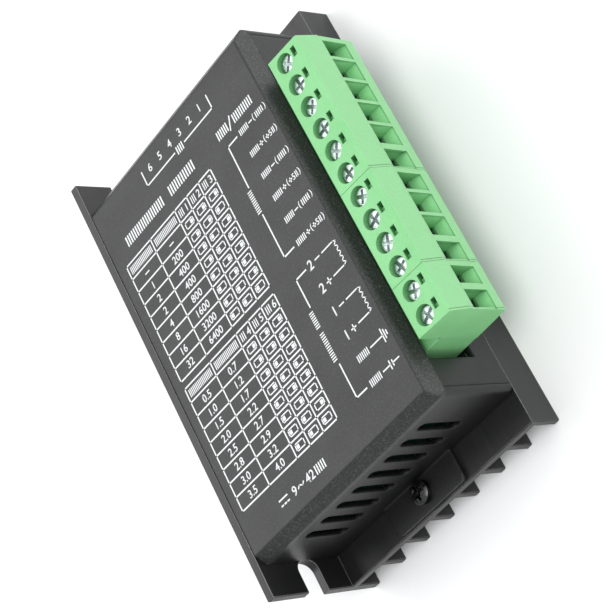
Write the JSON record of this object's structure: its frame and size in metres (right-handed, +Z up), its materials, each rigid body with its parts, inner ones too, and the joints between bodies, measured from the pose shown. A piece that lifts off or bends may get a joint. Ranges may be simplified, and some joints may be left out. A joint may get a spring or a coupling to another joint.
{
  "type": "stepper motor driver module",
  "caption": "Flat stepper motor driver module: finned heat sink with a notched mounting wall, folded sheet cover, and a row of pluggable screw terminals along one side.",
  "frame": {"origin": "on the plane of the fin tips, under the middle of the whole footprint (heat sink plus seated plugs)", "axes": "+Z up out of the printed face; +X from the mounting wall towards the screw terminals; +Y along the module towards the switch end"},
  "size_m": [0.0674, 0.096, 0.028],
  "materials": {
    "sink_anodised": "black anodised, satin, bare metal showing on the sawn edges",
    "cover_coat": "black powder coat over folded steel sheet, satin, white printed legend",
    "black_screw": "black-zinc plated steel, semi-gloss",
    "spacer_brass": "turned brass",
    "board_green": "green solder mask over glass-epoxy board",
    "component_black": "black moulded epoxy",
    "silicone_pad": "grey silicone heat-transfer sheet",
    "tinned_lead": "tinned metal",
    "capacitor_sleeve": "shrunk plastic sleeve over an aluminium can",
    "switch_red": "red moulded plastic",
    "slider_white": "white moulded plastic",
    "lamp_green": "tinted diffused epoxy",
    "lamp_red": "tinted diffused epoxy",
    "terminal_green": "light green moulded nylon, slightly glossy",
    "header_black": "black moulded nylon, matt",
    "plated_steel": "nickel-plated steel",
    "contact_tin": "tin-plated brass"
  },
  "bodies": {
    "driver_base": {"alarm_lamp": "lamp_red", "board_screws": "black_screw", "board_standoffs": "spacer_brass", "bulk_capacitor_1": "capacitor_sleeve", "bulk_capacitor_2": "capacitor_sleeve", "chip_leads": "tinned_lead", "circuit_board": "board_green", "cover_screws": "black_screw", "dip_switch_housing": "switch_red", "dip_switch_pins": "tinned_lead", "driver_chip": "component_black", "header_2way": "header_black", "header_4way": "header_black", "header_6way": "header_black", "header_pins": "tinned_lead", "heat_sink": "sink_anodised", "optocoupler_1": "component_black", "optocoupler_2": "component_black", "optocoupler_3": "component_black", "power_inductor": "component_black", "power_lamp": "lamp_green", "thermal_pad": "silicone_pad", "top_cover": "cover_coat", "voltage_regulator": "component_black"},
    "plug_6way": {"plug_housing_6way": "terminal_green", "plug_contacts_6way": "contact_tin"},
    "terminal_screw_01": {"terminal_screw_01": "plated_steel"},
    "clamp_cage_01": {"clamp_cage_01": "plated_steel"},
    "terminal_screw_02": {"terminal_screw_02": "plated_steel"},
    "clamp_cage_02": {"clamp_cage_02": "plated_steel"},
    "terminal_screw_03": {"terminal_screw_03": "plated_steel"},
    "clamp_cage_03": {"clamp_cage_03": "plated_steel"},
    "terminal_screw_04": {"terminal_screw_04": "plated_steel"},
    "clamp_cage_04": {"clamp_cage_04": "plated_steel"},
    "terminal_screw_05": {"terminal_screw_05": "plated_steel"},
    "clamp_cage_05": {"clamp_cage_05": "plated_steel"},
    "terminal_screw_06": {"terminal_screw_06": "plated_steel"},
    "clamp_cage_06": {"clamp_cage_06": "plated_steel"},
    "plug_4way": {"plug_housing_4way": "terminal_green", "plug_contacts_4way": "contact_tin"},
    "terminal_screw_07": {"terminal_screw_07": "plated_steel"},
    "clamp_cage_07": {"clamp_cage_07": "plated_steel"},
    "terminal_screw_08": {"terminal_screw_08": "plated_steel"},
    "clamp_cage_08": {"clamp_cage_08": "plated_steel"},
    "terminal_screw_09": {"terminal_screw_09": "plated_steel"},
    "clamp_cage_09": {"clamp_cage_09": "plated_steel"},
    "terminal_screw_10": {"terminal_screw_10": "plated_steel"},
    "clamp_cage_10": {"clamp_cage_10": "plated_steel"},
    "plug_2way": {"plug_housing_2way": "terminal_green", "plug_contacts_2way": "contact_tin"},
    "terminal_screw_11": {"terminal_screw_11": "plated_steel"},
    "clamp_cage_11": {"clamp_cage_11": "plated_steel"},
    "terminal_screw_12": {"terminal_screw_12": "plated_steel"},
    "clamp_cage_12": {"clamp_cage_12": "plated_steel"},
    "dip_slider_1": {"dip_slider_1": "slider_white"},
    "dip_slider_2": {"dip_slider_2": "slider_white"},
    "dip_slider_3": {"dip_slider_3": "slider_white"},
    "dip_slider_4": {"dip_slider_4": "slider_white"},
    "dip_slider_5": {"dip_slider_5": "slider_white"},
    "dip_slider_6": {"dip_slider_6": "slider_white"}
  },
  "joints": [
    {"name": "plug_6way_pull", "type": "slide", "parent": "driver_base", "child": "plug_6way", "axis": [1, 0, 0], "range_m": [0, 0.012]},
    {"name": "screw_01_turn", "type": "hinge", "parent": "plug_6way", "child": "terminal_screw_01", "pos_m": [0.02825, 0.02689, 0.0255], "axis": [0, 0, -1], "range_deg": [0, 1600]},
    {"name": "cage_01_rise", "type": "slide", "parent": "plug_6way", "child": "clamp_cage_01", "axis": [0, 0, 1], "range_m": [0, 0.002]},
    {"name": "screw_02_turn", "type": "hinge", "parent": "plug_6way", "child": "terminal_screw_02", "pos_m": [0.02825, 0.02181, 0.0255], "axis": [0, 0, -1], "range_deg": [0, 1600]},
    {"name": "cage_02_rise", "type": "slide", "parent": "plug_6way", "child": "clamp_cage_02", "axis": [0, 0, 1], "range_m": [0, 0.002]},
    {"name": "screw_03_turn", "type": "hinge", "parent": "plug_6way", "child": "terminal_screw_03", "pos_m": [0.02825, 0.01673, 0.0255], "axis": [0, 0, -1], "range_deg": [0, 1600]},
    {"name": "cage_03_rise", "type": "slide", "parent": "plug_6way", "child": "clamp_cage_03", "axis": [0, 0, 1], "range_m": [0, 0.002]},
    {"name": "screw_04_turn", "type": "hinge", "parent": "plug_6way", "child": "terminal_screw_04", "pos_m": [0.02825, 0.01165, 0.0255], "axis": [0, 0, -1], "range_deg": [0, 1600]},
    {"name": "cage_04_rise", "type": "slide", "parent": "plug_6way", "child": "clamp_cage_04", "axis": [0, 0, 1], "range_m": [0, 0.002]},
    {"name": "screw_05_turn", "type": "hinge", "parent": "plug_6way", "child": "terminal_screw_05", "pos_m": [0.02825, 0.00657, 0.0255], "axis": [0, 0, -1], "range_deg": [0, 1600]},
    {"name": "cage_05_rise", "type": "slide", "parent": "plug_6way", "child": "clamp_cage_05", "axis": [0, 0, 1], "range_m": [0, 0.002]},
    {"name": "screw_06_turn", "type": "hinge", "parent": "plug_6way", "child": "terminal_screw_06", "pos_m": [0.02825, 0.00149, 0.0255], "axis": [0, 0, -1], "range_deg": [0, 1600]},
    {"name": "cage_06_rise", "type": "slide", "parent": "plug_6way", "child": "clamp_cage_06", "axis": [0, 0, 1], "range_m": [0, 0.002]},
    {"name": "plug_4way_pull", "type": "slide", "parent": "driver_base", "child": "plug_4way", "axis": [1, 0, 0], "range_m": [0, 0.012]},
    {"name": "screw_07_turn", "type": "hinge", "parent": "plug_4way", "child": "terminal_screw_07", "pos_m": [0.02825, -0.00374, 0.0255], "axis": [0, 0, -1], "range_deg": [0, 1600]},
    {"name": "cage_07_rise", "type": "slide", "parent": "plug_4way", "child": "clamp_cage_07", "axis": [0, 0, 1], "range_m": [0, 0.002]},
    {"name": "screw_08_turn", "type": "hinge", "parent": "plug_4way", "child": "terminal_screw_08", "pos_m": [0.02825, -0.00882, 0.0255], "axis": [0, 0, -1], "range_deg": [0, 1600]},
    {"name": "cage_08_rise", "type": "slide", "parent": "plug_4way", "child": "clamp_cage_08", "axis": [0, 0, 1], "range_m": [0, 0.002]},
    {"name": "screw_09_turn", "type": "hinge", "parent": "plug_4way", "child": "terminal_screw_09", "pos_m": [0.02825, -0.0139, 0.0255], "axis": [0, 0, -1], "range_deg": [0, 1600]},
    {"name": "cage_09_rise", "type": "slide", "parent": "plug_4way", "child": "clamp_cage_09", "axis": [0, 0, 1], "range_m": [0, 0.002]},
    {"name": "screw_10_turn", "type": "hinge", "parent": "plug_4way", "child": "terminal_screw_10", "pos_m": [0.02825, -0.01898, 0.0255], "axis": [0, 0, -1], "range_deg": [0, 1600]},
    {"name": "cage_10_rise", "type": "slide", "parent": "plug_4way", "child": "clamp_cage_10", "axis": [0, 0, 1], "range_m": [0, 0.002]},
    {"name": "plug_2way_pull", "type": "slide", "parent": "driver_base", "child": "plug_2way", "axis": [1, 0, 0], "range_m": [0, 0.012]},
    {"name": "screw_11_turn", "type": "hinge", "parent": "plug_2way", "child": "terminal_screw_11", "pos_m": [0.02825, -0.02421, 0.0255], "axis": [0, 0, -1], "range_deg": [0, 1600]},
    {"name": "cage_11_rise", "type": "slide", "parent": "plug_2way", "child": "clamp_cage_11", "axis": [0, 0, 1], "range_m": [0, 0.002]},
    {"name": "screw_12_turn", "type": "hinge", "parent": "plug_2way", "child": "terminal_screw_12", "pos_m": [0.02825, -0.02929, 0.0255], "axis": [0, 0, -1], "range_deg": [0, 1600]},
    {"name": "cage_12_rise", "type": "slide", "parent": "plug_2way", "child": "clamp_cage_12", "axis": [0, 0, 1], "range_m": [0, 0.002]},
    {"name": "switch_1_slide", "type": "slide", "parent": "driver_base", "child": "dip_slider_1", "axis": [0, 0, 1], "range_m": [0, 0.00175]},
    {"name": "switch_2_slide", "type": "slide", "parent": "driver_base", "child": "dip_slider_2", "axis": [0, 0, 1], "range_m": [0, 0.00175]},
    {"name": "switch_3_slide", "type": "slide", "parent": "driver_base", "child": "dip_slider_3", "axis": [0, 0, 1], "range_m": [0, 0.00175]},
    {"name": "switch_4_slide", "type": "slide", "parent": "driver_base", "child": "dip_slider_4", "axis": [0, 0, 1], "range_m": [0, 0.00175]},
    {"name": "switch_5_slide", "type": "slide", "parent": "driver_base", "child": "dip_slider_5", "axis": [0, 0, 1], "range_m": [0, 0.00175]},
    {"name": "switch_6_slide", "type": "slide", "parent": "driver_base", "child": "dip_slider_6", "axis": [0, 0, 1], "range_m": [0, 0.00175]}
  ],
  "couplings": [
    {"joint": "screw_01_turn", "follows": "cage_01_rise", "rad_per_m": 13963},
    {"joint": "screw_02_turn", "follows": "cage_02_rise", "rad_per_m": 13963},
    {"joint": "screw_03_turn", "follows": "cage_03_rise", "rad_per_m": 13963},
    {"joint": "screw_04_turn", "follows": "cage_04_rise", "rad_per_m": 13963},
    {"joint": "screw_05_turn", "follows": "cage_05_rise", "rad_per_m": 13963},
    {"joint": "screw_06_turn", "follows": "cage_06_rise", "rad_per_m": 13963},
    {"joint": "screw_07_turn", "follows": "cage_07_rise", "rad_per_m": 13963},
    {"joint": "screw_08_turn", "follows": "cage_08_rise", "rad_per_m": 13963},
    {"joint": "screw_09_turn", "follows": "cage_09_rise", "rad_per_m": 13963},
    {"joint": "screw_10_turn", "follows": "cage_10_rise", "rad_per_m": 13963},
    {"joint": "screw_11_turn", "follows": "cage_11_rise", "rad_per_m": 13963},
    {"joint": "screw_12_turn", "follows": "cage_12_rise", "rad_per_m": 13963}
  ]
}
